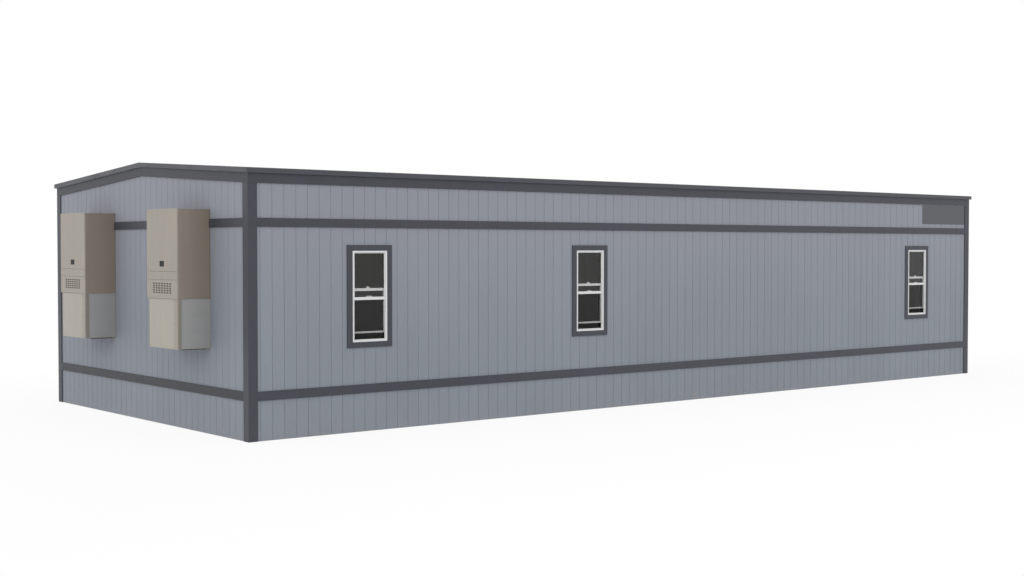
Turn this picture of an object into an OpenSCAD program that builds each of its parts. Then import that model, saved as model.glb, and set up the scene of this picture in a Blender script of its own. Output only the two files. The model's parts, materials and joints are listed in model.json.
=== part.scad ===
// Portable site cabin: two long timber-framed modules joined side by side under one low
// gable roof, clad in grooved panels with dark trim boards, with single-hung windows and
// two tall air-conditioning units hung on the left end wall.
// Millimetres. X runs along the length, Y across it and Z up. The origin is on the ground
// under the middle of the cabin, and the front faces -Y.

/* [Cabin body] */
// Length of the floor frame
frame_l = 18288; // [16000:100:20000]
// Width of the floor frame, both modules together
frame_w = 7163; // [6800:50:7800]
// Height of the finished floor above the ground
floor_top = 735; // [735:5:900]
// Height from the floor to the ceiling
room_h = 2426; // [2400:2:2700]
// Thickness of the framed walls
wall_t = 102; // [90:2:150]
// Thickness of the floor decks
deck_t = 203; // [150:1:240]
// Thickness of the ceiling boards
ceiling_t = 16; // [10:1:30]

/* [Roof] */
// Height from the ceiling to the top of the roof edge at the eaves
eave_rise = 862; // [780:1:1000]
// Rise of the roof in per cent of its run
roof_pitch = 6.5; // [4:0.5:12]
// Thickness of the roof at its edge
roof_t = 75; // [50:1:100]
// Overhang of the roof past the trim boards
roof_overhang = 35; // [20:1:90]
// Thickness of the metal roof edge and ridge cap
edge_metal_t = 3; // [2:0.5:5]
// Width of the flange of the roof edge that lies on the roof
edge_flange_w = 85; // [50:5:150]
// Width of the ridge cap on each side of the ridge
ridge_cap_w = 160; // [100:10:300]

/* [Cladding and trim] */
// Thickness of the grooved panels
siding_t = 16; // [12:1:22]
// Spacing of the grooves
groove_pitch = 203.2; // [100:0.1:305]
// Width of a groove at the surface
groove_w = 12; // [6:1:20]
// Depth of a groove
groove_depth = 6; // [3:0.5:9]
// Distance from the end of a panel run to its first groove
groove_first = 189; // [40:1:200]
// Thickness of the trim boards
trim_t = 19; // [12:1:30]
// Width of each leg of the corner boards
corner_board_w = 158; // [90:1:200]
// Height of the band at floor level
base_band_h = 137; // [90:1:180]
// Height of the band at ceiling level
top_band_h = 131; // [90:1:180]
// Height of the eave and rake boards
eave_board_h = 148; // [100:1:200]

/* [Windows] */
// Width of the window frames
window_w = 635; // [500:5:900]
// Height of the window frames
window_h = 1410; // [1300:5:1500]
// Height of the window frames above the floor
window_sill = 660; // [500:1:750]
// Centre of the first window, from the left end of the frame
window_1_from_left = 2090; // [1000:1:2600]
// Centre of the second window, from the left end of the frame
window_2_from_left = 6710; // [4500:1:7000]
// Centre of the third window, from the right end of the frame
window_3_from_right = 1934; // [1000:1:2600]
// Height of the upper sash's foot above the bottom of the frame
meeting_z = 662; // [600:1:720]
// How far the lower sashes are raised
sash_raise = 121; // [0:1:500]
// Width of the casing boards beside an opening
casing_side_w = 97; // [60:1:140]
// Height of the casing boards over and under an opening
casing_end_w = 89; // [60:1:140]
// How far the window frames stand proud of the casings
window_proud = 5; // [0:1:30]

/* [Door] */
// Width of the door leaf
door_w = 914; // [800:1:1000]
// Height of the door leaf
door_h = 2032; // [1950:1:2100]
// Centre of the door, from the left end of the back wall as it is seen from outside
door_from_left = 12600; // [9000:10:12800]

/* [Wall units] */
// Width of a wall unit
unit_w = 1045; // [800:5:1200]
// Depth of a wall unit
unit_d = 545; // [400:5:700]
// Height of a wall unit
unit_h = 2130; // [2000:5:2200]
// Height of the lower section of a wall unit
unit_split = 760; // [600:5:900]
// Height of the wall units above the floor
unit_sill = 582; // [400:1:650]
// Distance of the front unit from the cabin's centre line
unit_front_offset = 1880; // [900:5:2300]
// Distance of the back unit from the cabin's centre line
unit_back_offset = 1600; // [900:5:2300]

/* [Under the floor] */
// Depth of the steel chassis beams
beam_h = 254; // [200:1:300]
// Width of the chassis beam flanges
beam_w = 102; // [80:1:150]
// Number of piers under each chassis beam
pier_count = 7; // [4:1:10]
// Distance of the end piers from the ends of the frame
pier_inset = 700; // [400:10:1200]
// Length of a pier
pier_l = 406; // [300:1:500]
// Width of a pier
pier_w = 203; // [150:1:300]
// Distance of each beam from the middle of its module
beam_offset = 1000; // [700:10:1200]
// Distance of the beams' ends from the ends of the frame
beam_inset = 250; // [150:10:350]

/* [Hidden] */

// Colours of the painted boards, panels, metal and glass
siding_colour = "#8b8f96";
trim_colour = "#4f5257";
roof_colour = "#9a9c9e";
edge_colour = "#55565a";
frame_colour = "#dfe0e0";
glass_colour = "#3a3d40";
screen_colour = "#44474a";
timber_colour = "#b59b77";
concrete_colour = "#a3a19c";
steel_colour = "#3c3e41";
lining_colour = "#c9c9c5";
unit_front_colour = "#a39f96";
unit_side_colour = "#756c66";
unit_lower_colour = "#aeaba1";
grille_colour = "#828282";

// Planes of the frame, the cladding, the trim boards and the roof edge
half_l = frame_l / 2;
half_w = frame_w / 2;
end_x = half_l + siding_t;
side_y = half_w + siding_t;
trim_x = end_x + trim_t;
trim_y = side_y + trim_t;
edge_x = trim_x + roof_overhang;
edge_y = trim_y + roof_overhang;
inner_x = half_l - wall_t;
inner_y = half_w - wall_t;

// Gap between the two modules where they meet
module_joint = 2;

// Levels
ceiling_z = floor_top + room_h;
edge_top = ceiling_z + eave_rise;
low_joint = floor_top - base_band_h / 2;
high_joint = ceiling_z + top_band_h / 2;
deck_z = floor_top - deck_t;
beam_z = deck_z - beam_h;
beam_ys = [for (side = [-1, 1], step = [-1, 1]) side * half_w / 2 + step * beam_offset];

// Height of the roof's top, its deck and its underside at a distance from the ridge
function roof_top(y) = edge_top + roof_pitch / 100 * (edge_y - abs(y));
function roof_deck(y) = roof_top(y) - edge_metal_t;
function roof_under(y) = roof_top(y) - roof_t;
function board_under(y) = roof_under(y) - eave_board_h;

// Window and door places
window_xs = [-half_l + window_1_from_left, -half_l + window_2_from_left, half_l - window_3_from_right];
window_z = floor_top + window_sill;
door_x = -half_l + door_from_left;
door_jamb_w = 38;
door_stop_w = 12;
door_stop_y = 20;
door_leaf_t = 44;
door_gap = 3;
threshold_h = 24;
door_hole_w = door_w + 2 * (door_jamb_w + door_gap);
door_hole_h = threshold_h + 2 * door_gap + door_h + door_jamb_w;
frame_back = 45;
frame_front = siding_t + trim_t + window_proud;

// Window members, measured from the bottom of the frame and outward from the floor frame's face
jamb_w = 24;
head_h = 20;
sill_h = 24;
sill_pocket_h = 10;
sash_w = window_w - 2 * jamb_w;
sash_t = 17;
sash_gap = 2;
stile_w = 17;
upper_sash_recess = 20;
upper_sash_front = frame_front - upper_sash_recess;
lower_sash_front = upper_sash_front - sash_t - sash_gap;
upper_top_rail = 16;
upper_meeting_rail = 30;
sash_overlap = 47;
lower_sash_h = meeting_z + sash_overlap - sill_pocket_h;
lower_sash_z = sill_pocket_h + sash_raise;
lower_top_rail = 40;
lower_bottom_rail = 27;
pane_t = 5;
screen_t = 8;
screen_rail_w = 14;
screen_mesh_t = 1;

// Wall unit members, measured from the bottom of the unit and outward from the cladding
unit_ys = [-unit_front_offset, unit_back_offset];
unit_z = floor_top + unit_sill;
unit_cap_t = 12;
unit_cap_drop = 9;
unit_body_h = unit_h - unit_cap_drop - unit_cap_t;
unit_panel_t = 22;
unit_seam = 3;
unit_vent_band_h = 287;
unit_access_h = 125;
unit_vent_top = unit_split + unit_vent_band_h;
unit_access_top = unit_vent_top + unit_access_h;
unit_corner_panel_w = 125;
unit_far_step = 5;
unit_far_post = 55;
unit_lower_inset = 8;
unit_pocket_d = 24;
unit_pocket_from = 6;
unit_pocket_front = 68;
unit_pocket_to = unit_d - unit_pocket_front;
unit_pocket_margin = 6;
grille_t = 20;
grille_drop = 2;
vent_columns = 7;
vent_rows = 5;
vent_w = 610;
vent_h = 154;
vent_rise = 82;
vent_z = unit_split + vent_rise;
slot_w = 50;
slot_h = 17;
slot_radius = 3;

// A profile in the YZ plane, drawn out along X from one place to another
module along_x(from, to) {
    translate([from, 0, 0]) rotate([90, 0, 90]) linear_extrude(to - from) children();
}

// A box between two corners
module block(low, high) {
    translate(low) cube(high - low);
}

// The children and their mirror image on the other long side
module both_sides() {
    children();
    mirror([0, 1, 0]) children();
}

// The children and the same turned half round, so that the back has its first window at the other end
module both_faces() {
    children();
    rotate(180) children();
}

// The children and their mirror image at the other end
module both_ends() {
    children();
    mirror([1, 0, 0]) children();
}

// The plan of a grooved panel run that starts at the origin and faces +Y
function groove_points(run) =
    let (count = floor((run - groove_first - groove_w) / groove_pitch))
    [for (k = [0 : count])
        let (u = groove_first + k * groove_pitch)
        each [[u - groove_w / 2, siding_t], [u - groove_w / 4, siding_t - groove_depth],
              [u + groove_w / 4, siding_t - groove_depth], [u + groove_w / 2, siding_t]]];
module panel_plan(run) {
    polygon(concat([[0, 0], [0, siding_t]], groove_points(run), [[run, siding_t], [run, 0]]));
}

// Panel runs on the front and on the left end, between two levels
module front_panels(low, high) {
    translate([-end_x, -half_w, low]) mirror([0, 1, 0]) linear_extrude(high - low) panel_plan(2 * end_x);
}
module left_panels(low, high) {
    translate([-half_l, -half_w, low]) rotate(90) linear_extrude(high - low) panel_plan(frame_w);
}

// The outline of an end wall under a roof line that is drop below the underside of the roof
module gable_outline(half_span, low, drop) {
    polygon([[-half_span, low], [half_span, low], [half_span, roof_under(half_span) - drop],
             [0, roof_under(0) - drop], [-half_span, roof_under(half_span) - drop]]);
}

// A stretch of the front wall between two places, above a given level
module front_wall_stretch(from, to, low) {
    along_x(from, to) polygon([[-half_w, low], [-inner_y, low],
                               [-inner_y, roof_under(inner_y)], [-half_w, roof_under(half_w)]]);
}

// The children at each window of both long sides, from the bottom of its frame at the wall's face
module at_windows() {
    both_faces() for (x = window_xs) translate([x, -half_w, window_z]) children();
}
module at_door() {
    rotate(180) translate([door_x, -half_w, floor_top]) children();
}
module at_units() {
    for (y = unit_ys) translate([-end_x, y, unit_z]) children();
}

// A ring in the XZ plane with its own widths, between two depths measured outward
module upright_ring(w, h, side, low_rail, high_rail, front, back) {
    difference() {
        block([-w / 2, -front, 0], [w / 2, -back, h]);
        block([-w / 2 + side, -front - 1, low_rail], [w / 2 - side, -back + 1, h - high_rail]);
    }
}

// Piers and chassis
module support_piers() {
    color(concrete_colour) {
        for (y = beam_ys, k = [0 : pier_count - 1])
            let (x = -half_l + pier_inset + k * (frame_l - 2 * pier_inset) / (pier_count - 1))
            block([x - pier_l / 2, y - pier_w / 2, 0], [x + pier_l / 2, y + pier_w / 2, beam_z]);
        for (x = [-1, 0, 1] * frame_l / 3)
            block([x - pier_l / 2, -pier_w, 0], [x + pier_l / 2, pier_w, deck_z]);
    }
}
module chassis_beams() {
    flange = 10;
    web = 7;
    color(steel_colour)
    for (y = beam_ys)
        translate([0, y, beam_z]) along_x(-half_l + beam_inset, half_l - beam_inset) {
            translate([-beam_w / 2, 0]) square([beam_w, flange]);
            translate([-web / 2, 0]) square([web, beam_h]);
            translate([-beam_w / 2, beam_h - flange]) square([beam_w, flange]);
        }
}

// Floors, walls and ceiling
module floor_decks() {
    color(timber_colour) both_sides() block([-half_l, -half_w, deck_z], [half_l, -module_joint / 2, floor_top]);
}
module side_walls() {
    window_stops = [for (x = window_xs) [x - window_w / 2, x + window_w / 2]];
    door_stops = [door_x - door_hole_w / 2, door_x + door_hole_w / 2];
    front_stops = concat([-half_l], window_stops[0], window_stops[1], window_stops[2], [half_l]);
    back_stops = concat([-half_l], window_stops[0], window_stops[1], door_stops, window_stops[2], [half_l]);
    color(lining_colour) {
        for (k = [0 : 2 : len(front_stops) - 1])
            front_wall_stretch(front_stops[k], front_stops[k + 1], floor_top);
        rotate(180) for (k = [0 : 2 : len(back_stops) - 1])
            front_wall_stretch(back_stops[k], back_stops[k + 1], floor_top);
    }
}
module end_walls() {
    color(lining_colour) both_ends() along_x(-half_l, -inner_x) gable_outline(inner_y, floor_top, 0);
}
module wall_infills() {
    color(lining_colour) {
        both_faces() for (x = window_xs) {
            front_wall_stretch(x - window_w / 2, x + window_w / 2, window_z + window_h);
            block([x - window_w / 2, -half_w, floor_top], [x + window_w / 2, -inner_y, window_z]);
        }
        rotate(180)
            front_wall_stretch(door_x - door_hole_w / 2, door_x + door_hole_w / 2, floor_top + door_hole_h);
    }
}
module ceiling() {
    color(lining_colour) block([-inner_x, -inner_y, ceiling_z], [inner_x, inner_y, ceiling_z + ceiling_t]);
}

// Grooved cladding
module side_window_holes() {
    for (x = window_xs)
        block([x - window_w / 2, -side_y - 1, window_z], [x + window_w / 2, -half_w + 1, window_z + window_h]);
}
module side_siding() {
    color(siding_colour) {
        difference() {
            front_panels(low_joint, high_joint);
            side_window_holes();
        }
        rotate(180) difference() {
            front_panels(low_joint, high_joint);
            side_window_holes();
            block([door_x - door_hole_w / 2, -side_y - 1, floor_top],
                  [door_x + door_hole_w / 2, -half_w + 1, floor_top + door_hole_h]);
        }
    }
}
module end_siding() {
    color(siding_colour) both_ends() left_panels(low_joint, high_joint);
}
module upper_siding() {
    color(siding_colour) both_sides() front_panels(high_joint, roof_under(side_y));
}
module gable_siding() {
    color(siding_colour) both_ends() intersection() {
        left_panels(high_joint, roof_under(0) + 1);
        along_x(-end_x - 1, -half_l + 1) gable_outline(half_w + 1, high_joint - 1, 0);
    }
}
module side_skirting() {
    color(siding_colour) both_sides() front_panels(0, low_joint);
}
module end_skirting() {
    color(siding_colour) both_ends() left_panels(0, low_joint);
}
module skirting_rails() {
    rail_w = 89;
    rail_h = 38;
    gap = 3;
    color(timber_colour) {
        both_sides() block([-half_l, -half_w, 0], [half_l, -half_w + rail_w, rail_h]);
        both_ends() block([-half_l, -half_w + rail_w + gap, 0], [-half_l + rail_w, half_w - rail_w - gap, rail_h]);
    }
}

// Trim boards
module corner_boards() {
    color(trim_colour) both_ends() both_sides() intersection() {
        linear_extrude(edge_top) polygon([
            [-trim_x, -trim_y], [-trim_x + corner_board_w, -trim_y], [-trim_x + corner_board_w, -side_y],
            [-end_x, -side_y], [-end_x, -trim_y + corner_board_w], [-trim_x, -trim_y + corner_board_w]]);
        along_x(-trim_x - 1, 0) gable_outline(trim_y + 1, 0, eave_board_h);
    }
}
module band(low, high) {
    both_sides() block([-trim_x + corner_board_w, -trim_y, low], [trim_x - corner_board_w, -side_y, high]);
    both_ends() block([-trim_x, -trim_y + corner_board_w, low], [-end_x, trim_y - corner_board_w, high]);
}
module base_bands() {
    color(trim_colour) band(floor_top - base_band_h, floor_top);
}
module top_bands() {
    color(trim_colour) difference() {
        band(ceiling_z, ceiling_z + top_band_h);
        at_units() block([-unit_d, -unit_w / 2, 0], [1, unit_w / 2, unit_h]);
    }
}
module eave_boards() {
    color(trim_colour) both_sides() along_x(-trim_x, trim_x)
        polygon([[-trim_y, board_under(trim_y)], [-side_y, board_under(side_y)],
                 [-side_y, roof_under(side_y)], [-trim_y, roof_under(trim_y)]]);
}
module rake_boards() {
    joint = 0.5;
    color(trim_colour) both_ends() both_sides() along_x(-trim_x, -end_x)
        polygon([[-side_y, board_under(side_y)], [-joint, board_under(joint)],
                 [-joint, roof_under(joint)], [-side_y, roof_under(side_y)]]);
}

// Roof
module front_roof() {
    outer = edge_y - edge_metal_t;
    color(roof_colour) along_x(-edge_x + edge_metal_t, edge_x - edge_metal_t)
        polygon([[-outer, roof_under(outer)], [0, roof_under(0)], [0, roof_deck(0)], [-outer, roof_deck(outer)]]);
}
module back_roof() {
    mirror([0, 1, 0]) front_roof();
}
module eave_edge_trim() {
    inner = edge_y - edge_metal_t;
    flange = edge_y - edge_flange_w;
    color(edge_colour) both_sides() along_x(-edge_x + edge_metal_t, edge_x - edge_metal_t)
        polygon([[-edge_y, roof_under(edge_y)], [-inner, roof_under(inner)], [-inner, roof_deck(inner)],
                 [-flange, roof_deck(flange)], [-flange, roof_top(flange)], [-edge_y, roof_top(edge_y)]]);
}
module roof_layer(half_span, low_drop, high_drop) {
    polygon([[-half_span, roof_top(half_span) - low_drop], [0, roof_top(0) - low_drop],
             [half_span, roof_top(half_span) - low_drop], [half_span, roof_top(half_span) - high_drop],
             [0, roof_top(0) - high_drop], [-half_span, roof_top(half_span) - high_drop]]);
}
module rake_edge_trim() {
    color(edge_colour) both_ends() {
        along_x(-edge_x, -edge_x + edge_metal_t) roof_layer(edge_y, roof_t, 0);
        along_x(-edge_x, -edge_x + edge_flange_w) roof_layer(edge_y - edge_flange_w, edge_metal_t, 0);
    }
}
module ridge_cap() {
    color(edge_colour) along_x(-edge_x + edge_flange_w, edge_x - edge_flange_w)
        roof_layer(ridge_cap_w, edge_metal_t, 0);
}

// Windows
module window_casings() {
    color(trim_colour) at_windows() translate([0, 0, -casing_end_w])
        upright_ring(window_w + 2 * casing_side_w, window_h + 2 * casing_end_w, casing_side_w,
                     casing_end_w, casing_end_w, siding_t + trim_t, siding_t);
}
module window_jambs() {
    color(frame_colour) at_windows() for (side = [0, 1]) mirror([side, 0, 0])
        block([-window_w / 2, -frame_front, 0], [-window_w / 2 + jamb_w, frame_back, window_h]);
}
module window_heads() {
    color(frame_colour) at_windows()
        block([-sash_w / 2, -frame_front, window_h - head_h], [sash_w / 2, frame_back, window_h]);
}
module window_sills() {
    slope_d = 16;
    slope_fall = 5;
    lip_clear = 1;
    lip_back = -lower_sash_front - lip_clear;
    color(frame_colour) at_windows() along_x(-sash_w / 2, sash_w / 2)
        polygon([[-frame_front, 0], [frame_back, 0], [frame_back, sill_pocket_h], [lip_back, sill_pocket_h],
                 [lip_back, sill_h], [-frame_front + slope_d, sill_h], [-frame_front, sill_h - slope_fall]]);
}
module upper_sashes() {
    color(frame_colour) at_windows() translate([0, 0, meeting_z])
        upright_ring(sash_w, window_h - head_h - meeting_z, stile_w, upper_meeting_rail, upper_top_rail,
                     upper_sash_front, upper_sash_front - sash_t);
}
module lower_sashes() {
    color(frame_colour) at_windows() translate([0, 0, lower_sash_z])
        upright_ring(sash_w, lower_sash_h, stile_w, lower_bottom_rail, lower_top_rail,
                     lower_sash_front, lower_sash_front - sash_t);
}
module pane(low, high, sash_front) {
    middle = -sash_front + sash_t / 2;
    block([-sash_w / 2 + stile_w, middle - pane_t / 2, low], [sash_w / 2 - stile_w, middle + pane_t / 2, high]);
}
module window_panes() {
    color(glass_colour, 0.35) at_windows() {
        pane(meeting_z + upper_meeting_rail, window_h - head_h - upper_top_rail, upper_sash_front);
        pane(lower_sash_z + lower_bottom_rail, lower_sash_z + lower_sash_h - lower_top_rail, lower_sash_front);
    }
}
module sash_locks() {
    lock_l = 76;
    lock_h = 17;
    knob_h = 6;
    keeper_h = 10;
    ledge = sash_t / 2 - pane_t / 2;
    color(frame_colour) at_windows() {
        translate([0, -lower_sash_front, lower_sash_z + lower_sash_h]) {
            block([-lock_l / 2, 2, 0], [lock_l / 2, sash_t - 2, lock_h]);
            translate([-lock_l / 6, sash_t / 2, lock_h]) cylinder(h = knob_h, d = 11, $fn = 32);
        }
        translate([0, -upper_sash_front + sash_t - ledge, meeting_z + upper_meeting_rail])
            block([-lock_l / 2, 0.5, 0], [lock_l / 2, ledge - 0.5, keeper_h]);
    }
}

module window_screens() {
    clear_w = sash_w / 2 - screen_rail_w;
    screen_h = meeting_z - sill_h;
    mesh_front = (screen_t - screen_mesh_t) / 2;
    color(screen_colour) at_windows() translate([0, -upper_sash_front, sill_h]) difference() {
        block([-sash_w / 2, 0, 0], [sash_w / 2, screen_t, screen_h]);
        block([-clear_w, -1, screen_rail_w], [clear_w, mesh_front, screen_h - screen_rail_w]);
        block([-clear_w, mesh_front + screen_mesh_t, screen_rail_w],
              [clear_w, screen_t + 1, screen_h - screen_rail_w]);
    }
}

// Door
module door_casing() {
    color(trim_colour) at_door() difference() {
        block([-door_hole_w / 2 - casing_side_w, -siding_t - trim_t, 0],
              [door_hole_w / 2 + casing_side_w, -siding_t, door_hole_h + casing_end_w]);
        block([-door_hole_w / 2, -siding_t - trim_t - 1, -1], [door_hole_w / 2, -siding_t + 1, door_hole_h]);
    }
}
module door_frame() {
    color(frame_colour) at_door() difference() {
        block([-door_hole_w / 2, -siding_t - trim_t, 0], [door_hole_w / 2, wall_t, door_hole_h]);
        block([-door_hole_w / 2 + door_jamb_w, -frame_front - 1, -1],
              [door_hole_w / 2 - door_jamb_w, door_stop_y, door_hole_h - door_jamb_w]);
        block([-door_hole_w / 2 + door_jamb_w + door_stop_w, -frame_front - 1, -1],
              [door_hole_w / 2 - door_jamb_w - door_stop_w, wall_t + 1, door_hole_h - door_jamb_w - door_stop_w]);
    }
}
module door_leaf() {
    color(trim_colour) at_door()
        block([-door_w / 2, door_stop_y - door_leaf_t, threshold_h + door_gap],
              [door_w / 2, door_stop_y, threshold_h + door_gap + door_h]);
}
module door_threshold() {
    edge_h = 8;
    crest_in = 40;
    crest_out = 10;
    half_l = door_hole_w / 2 - door_jamb_w - door_stop_w;
    color("#9c9d9f") at_door() along_x(-half_l, half_l)
        polygon([[-siding_t - trim_t, 0], [wall_t, 0], [wall_t, edge_h], [crest_in, threshold_h],
                 [-crest_out, threshold_h], [-siding_t - trim_t, edge_h]]);
}
module door_handle() {
    backset = 70;
    handle_z = 1000;
    leaf_front = door_leaf_t - door_stop_y;
    rose_t = 10;
    rose_d = 66;
    neck_l = 50;
    neck_d = 20;
    lever_l = 125;
    lever_t = 16;
    handle_x = door_w / 2 - backset;
    color("#9c9d9f") at_door() translate([handle_x, -leaf_front, handle_z]) rotate([90, 0, 0]) {
        cylinder(h = rose_t, d = rose_d, $fn = 48);
        cylinder(h = neck_l, d = neck_d, $fn = 32);
        translate([-lever_l + neck_d / 2, -neck_d / 2, neck_l - lever_t]) cube([lever_l, neck_d, lever_t]);
    }
}

// Wall units
module unit_cabinets() {
    front = unit_d - unit_panel_t;
    far_side = unit_w / 2 - unit_far_step;
    color(unit_side_colour) at_units() difference() {
        union() {
            block([-front, -unit_w / 2, unit_split], [0, unit_w / 2, unit_body_h]);
            block([-front, -unit_w / 2, 0], [0, far_side, unit_split]);
        }
        block([-unit_pocket_to, -unit_w / 2 - 1, unit_pocket_margin],
              [-unit_pocket_from, -unit_w / 2 + unit_pocket_d, unit_split]);
        block([-unit_pocket_to, far_side - unit_pocket_d, unit_pocket_margin],
              [-unit_pocket_from, far_side + 1, unit_split]);
    }
}
module unit_front_panel(low, high) {
    block([-unit_d, -unit_w / 2, low], [-unit_d + unit_panel_t, unit_w / 2, high]);
}
module unit_upper_panels() {
    color(unit_front_colour) at_units() unit_front_panel(unit_access_top + unit_seam, unit_h);
}
module unit_access_panels() {
    color(unit_front_colour) at_units() {
        unit_front_panel(unit_vent_top + unit_seam, unit_access_top);
        block([-unit_d, -unit_w / 2, 0],
              [-unit_d + unit_panel_t, -unit_w / 2 + unit_corner_panel_w, unit_split - unit_seam]);
    }
}
module vent_slot() {
    rotate([0, 90, 0]) linear_extrude(unit_panel_t + 2) {
        translate([0, -slot_w / 2 + slot_h / 2]) circle(d = slot_h, $fn = 32);
        translate([0, slot_w / 2 - slot_h / 2]) circle(d = slot_h, $fn = 32);
        square([slot_h, slot_w - slot_h], center = true);
    }
}
module unit_vent_panels() {
    column_pitch = (vent_w - slot_w) / (vent_columns - 1);
    row_pitch = (vent_h - slot_h) / (vent_rows - 1);
    color(unit_front_colour) at_units() difference() {
        unit_front_panel(unit_split, unit_vent_top);
        for (column = [0 : vent_columns - 1], row = [0 : vent_rows - 1])
            translate([-unit_d - 1, -vent_w / 2 + slot_w / 2 + column * column_pitch,
                       vent_z + slot_h / 2 + row * row_pitch]) vent_slot();
    }
}
module unit_lower_panels() {
    low_y = -unit_w / 2 + unit_corner_panel_w + unit_seam;
    high_y = unit_w / 2 - unit_far_step - unit_far_post;
    color(unit_lower_colour) at_units()
        block([-unit_d + unit_lower_inset, low_y, 0],
              [-unit_d + unit_panel_t, high_y, unit_split - unit_seam]);
}
module unit_side_grilles() {
    near = -unit_w / 2 + unit_pocket_d;
    far = unit_w / 2 - unit_far_step - unit_pocket_d;
    high = unit_split - grille_drop;
    color(grille_colour) at_units() {
        block([-unit_pocket_to, near - grille_t, unit_pocket_margin], [-unit_pocket_from, near, high]);
        block([-unit_pocket_to, far, unit_pocket_margin], [-unit_pocket_from, far + grille_t, high]);
    }
}
module unit_top_caps() {
    lip = 3;
    color(unit_side_colour) at_units()
        block([-unit_d + unit_panel_t, -unit_w / 2 - lip, unit_body_h], [0, unit_w / 2 + lip, unit_body_h + unit_cap_t]);
}
module unit_brackets() {
    arm_w = 40;
    arm_h = 20;
    arm_setback = 150;
    steel = 5;
    inset = 150;
    arm_l = unit_d - arm_setback;
    color(steel_colour) at_units()
    for (y = [-unit_w / 2 + inset, unit_w / 2 - unit_far_step - inset - arm_w])
        translate([0, y, -arm_h]) rotate([90, 0, -90]) linear_extrude(arm_l)
            polygon([[0, 0], [0, arm_h], [-arm_w, arm_h], [-arm_w, arm_h - steel], [-steel, arm_h - steel],
                     [-steel, 0]]);
}

support_piers();
chassis_beams();
floor_decks();
side_walls();
end_walls();
wall_infills();
ceiling();
side_siding();
end_siding();
upper_siding();
gable_siding();
side_skirting();
end_skirting();
skirting_rails();
corner_boards();
base_bands();
top_bands();
eave_boards();
rake_boards();
front_roof();
back_roof();
eave_edge_trim();
rake_edge_trim();
ridge_cap();
window_casings();
window_jambs();
window_heads();
window_sills();
upper_sashes();
lower_sashes();
window_panes();
sash_locks();
window_screens();
door_casing();
door_frame();
door_leaf();
door_threshold();
door_handle();
unit_cabinets();
unit_upper_panels();
unit_access_panels();
unit_vent_panels();
unit_lower_panels();
unit_side_grilles();
unit_top_caps();
unit_brackets();
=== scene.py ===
# %% [markdown]
# # A portable site cabin
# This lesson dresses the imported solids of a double-wide site cabin. The solids give every size, so each new
# piece is placed from the box of the node that it belongs to, in metres, with the ground at zero.

# %% Load the solids
import json
import math

import bmesh
import bpy
from mathutils import Color, Matrix, Vector


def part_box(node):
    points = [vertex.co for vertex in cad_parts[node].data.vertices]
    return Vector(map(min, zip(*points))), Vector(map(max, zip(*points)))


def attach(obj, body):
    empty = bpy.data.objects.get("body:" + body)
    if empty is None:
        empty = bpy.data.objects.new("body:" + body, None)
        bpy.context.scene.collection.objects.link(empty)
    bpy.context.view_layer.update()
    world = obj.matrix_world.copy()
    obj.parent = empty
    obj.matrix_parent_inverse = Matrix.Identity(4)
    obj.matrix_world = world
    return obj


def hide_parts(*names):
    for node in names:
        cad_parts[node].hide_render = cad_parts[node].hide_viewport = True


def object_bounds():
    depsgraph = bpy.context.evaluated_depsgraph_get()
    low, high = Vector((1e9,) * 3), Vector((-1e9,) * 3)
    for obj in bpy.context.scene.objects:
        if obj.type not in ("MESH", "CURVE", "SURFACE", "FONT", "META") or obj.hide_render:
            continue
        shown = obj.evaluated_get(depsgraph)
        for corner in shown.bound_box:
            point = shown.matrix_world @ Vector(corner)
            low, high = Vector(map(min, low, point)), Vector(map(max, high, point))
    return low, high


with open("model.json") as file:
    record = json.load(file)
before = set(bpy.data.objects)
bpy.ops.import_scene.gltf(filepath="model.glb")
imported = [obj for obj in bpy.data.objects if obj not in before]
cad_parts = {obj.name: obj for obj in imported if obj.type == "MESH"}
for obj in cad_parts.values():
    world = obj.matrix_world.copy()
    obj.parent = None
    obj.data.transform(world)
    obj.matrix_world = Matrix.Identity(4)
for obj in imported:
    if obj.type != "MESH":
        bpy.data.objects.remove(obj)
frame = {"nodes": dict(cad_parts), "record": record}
nodes = frame["nodes"]
cad_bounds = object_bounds()
print("nodes", len(nodes), "CAD box", cad_bounds)

# %% [markdown]
# ## The camera
# The photograph was taken from above head height, well back from the near corner, so verticals stay almost
# upright. A 50 mm lens on a 36 mm sensor gives the same convergence along both walls.

# %% Camera
LENS_MM = 50.0
SENSOR_MM = 36.0
CAMERA_PLACE = Vector((-19.291, -22.133, 2.846))
CAMERA_TURN_DEG = 39.161
CAMERA_TILT_DEG = -1.604
VIEW_DEPTH = 500.0

scene = bpy.context.scene


def add_object(name, data):
    made = bpy.data.objects.new(name, data)
    scene.collection.objects.link(made)
    return made


lens = bpy.data.cameras.new("photo_camera")
lens.lens = LENS_MM
lens.sensor_width = SENSOR_MM
lens.clip_end = VIEW_DEPTH
camera = add_object("photo_camera", lens)
camera.location = CAMERA_PLACE
camera.rotation_euler = (math.radians(90 + CAMERA_TILT_DEG), 0, math.radians(-CAMERA_TURN_DEG))
scene.camera = camera
scene.view_settings.view_transform = "Standard"
print("camera", LENS_MM, "mm at", tuple(CAMERA_PLACE))

# %% [markdown]
# ## Shader arithmetic
# A finish is easier to read as a formula than as a web of nodes. This class wraps one output socket, so that
# 1 - mask adds a Math node by itself, and its node method adds any other node with its settings and inputs.


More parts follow.
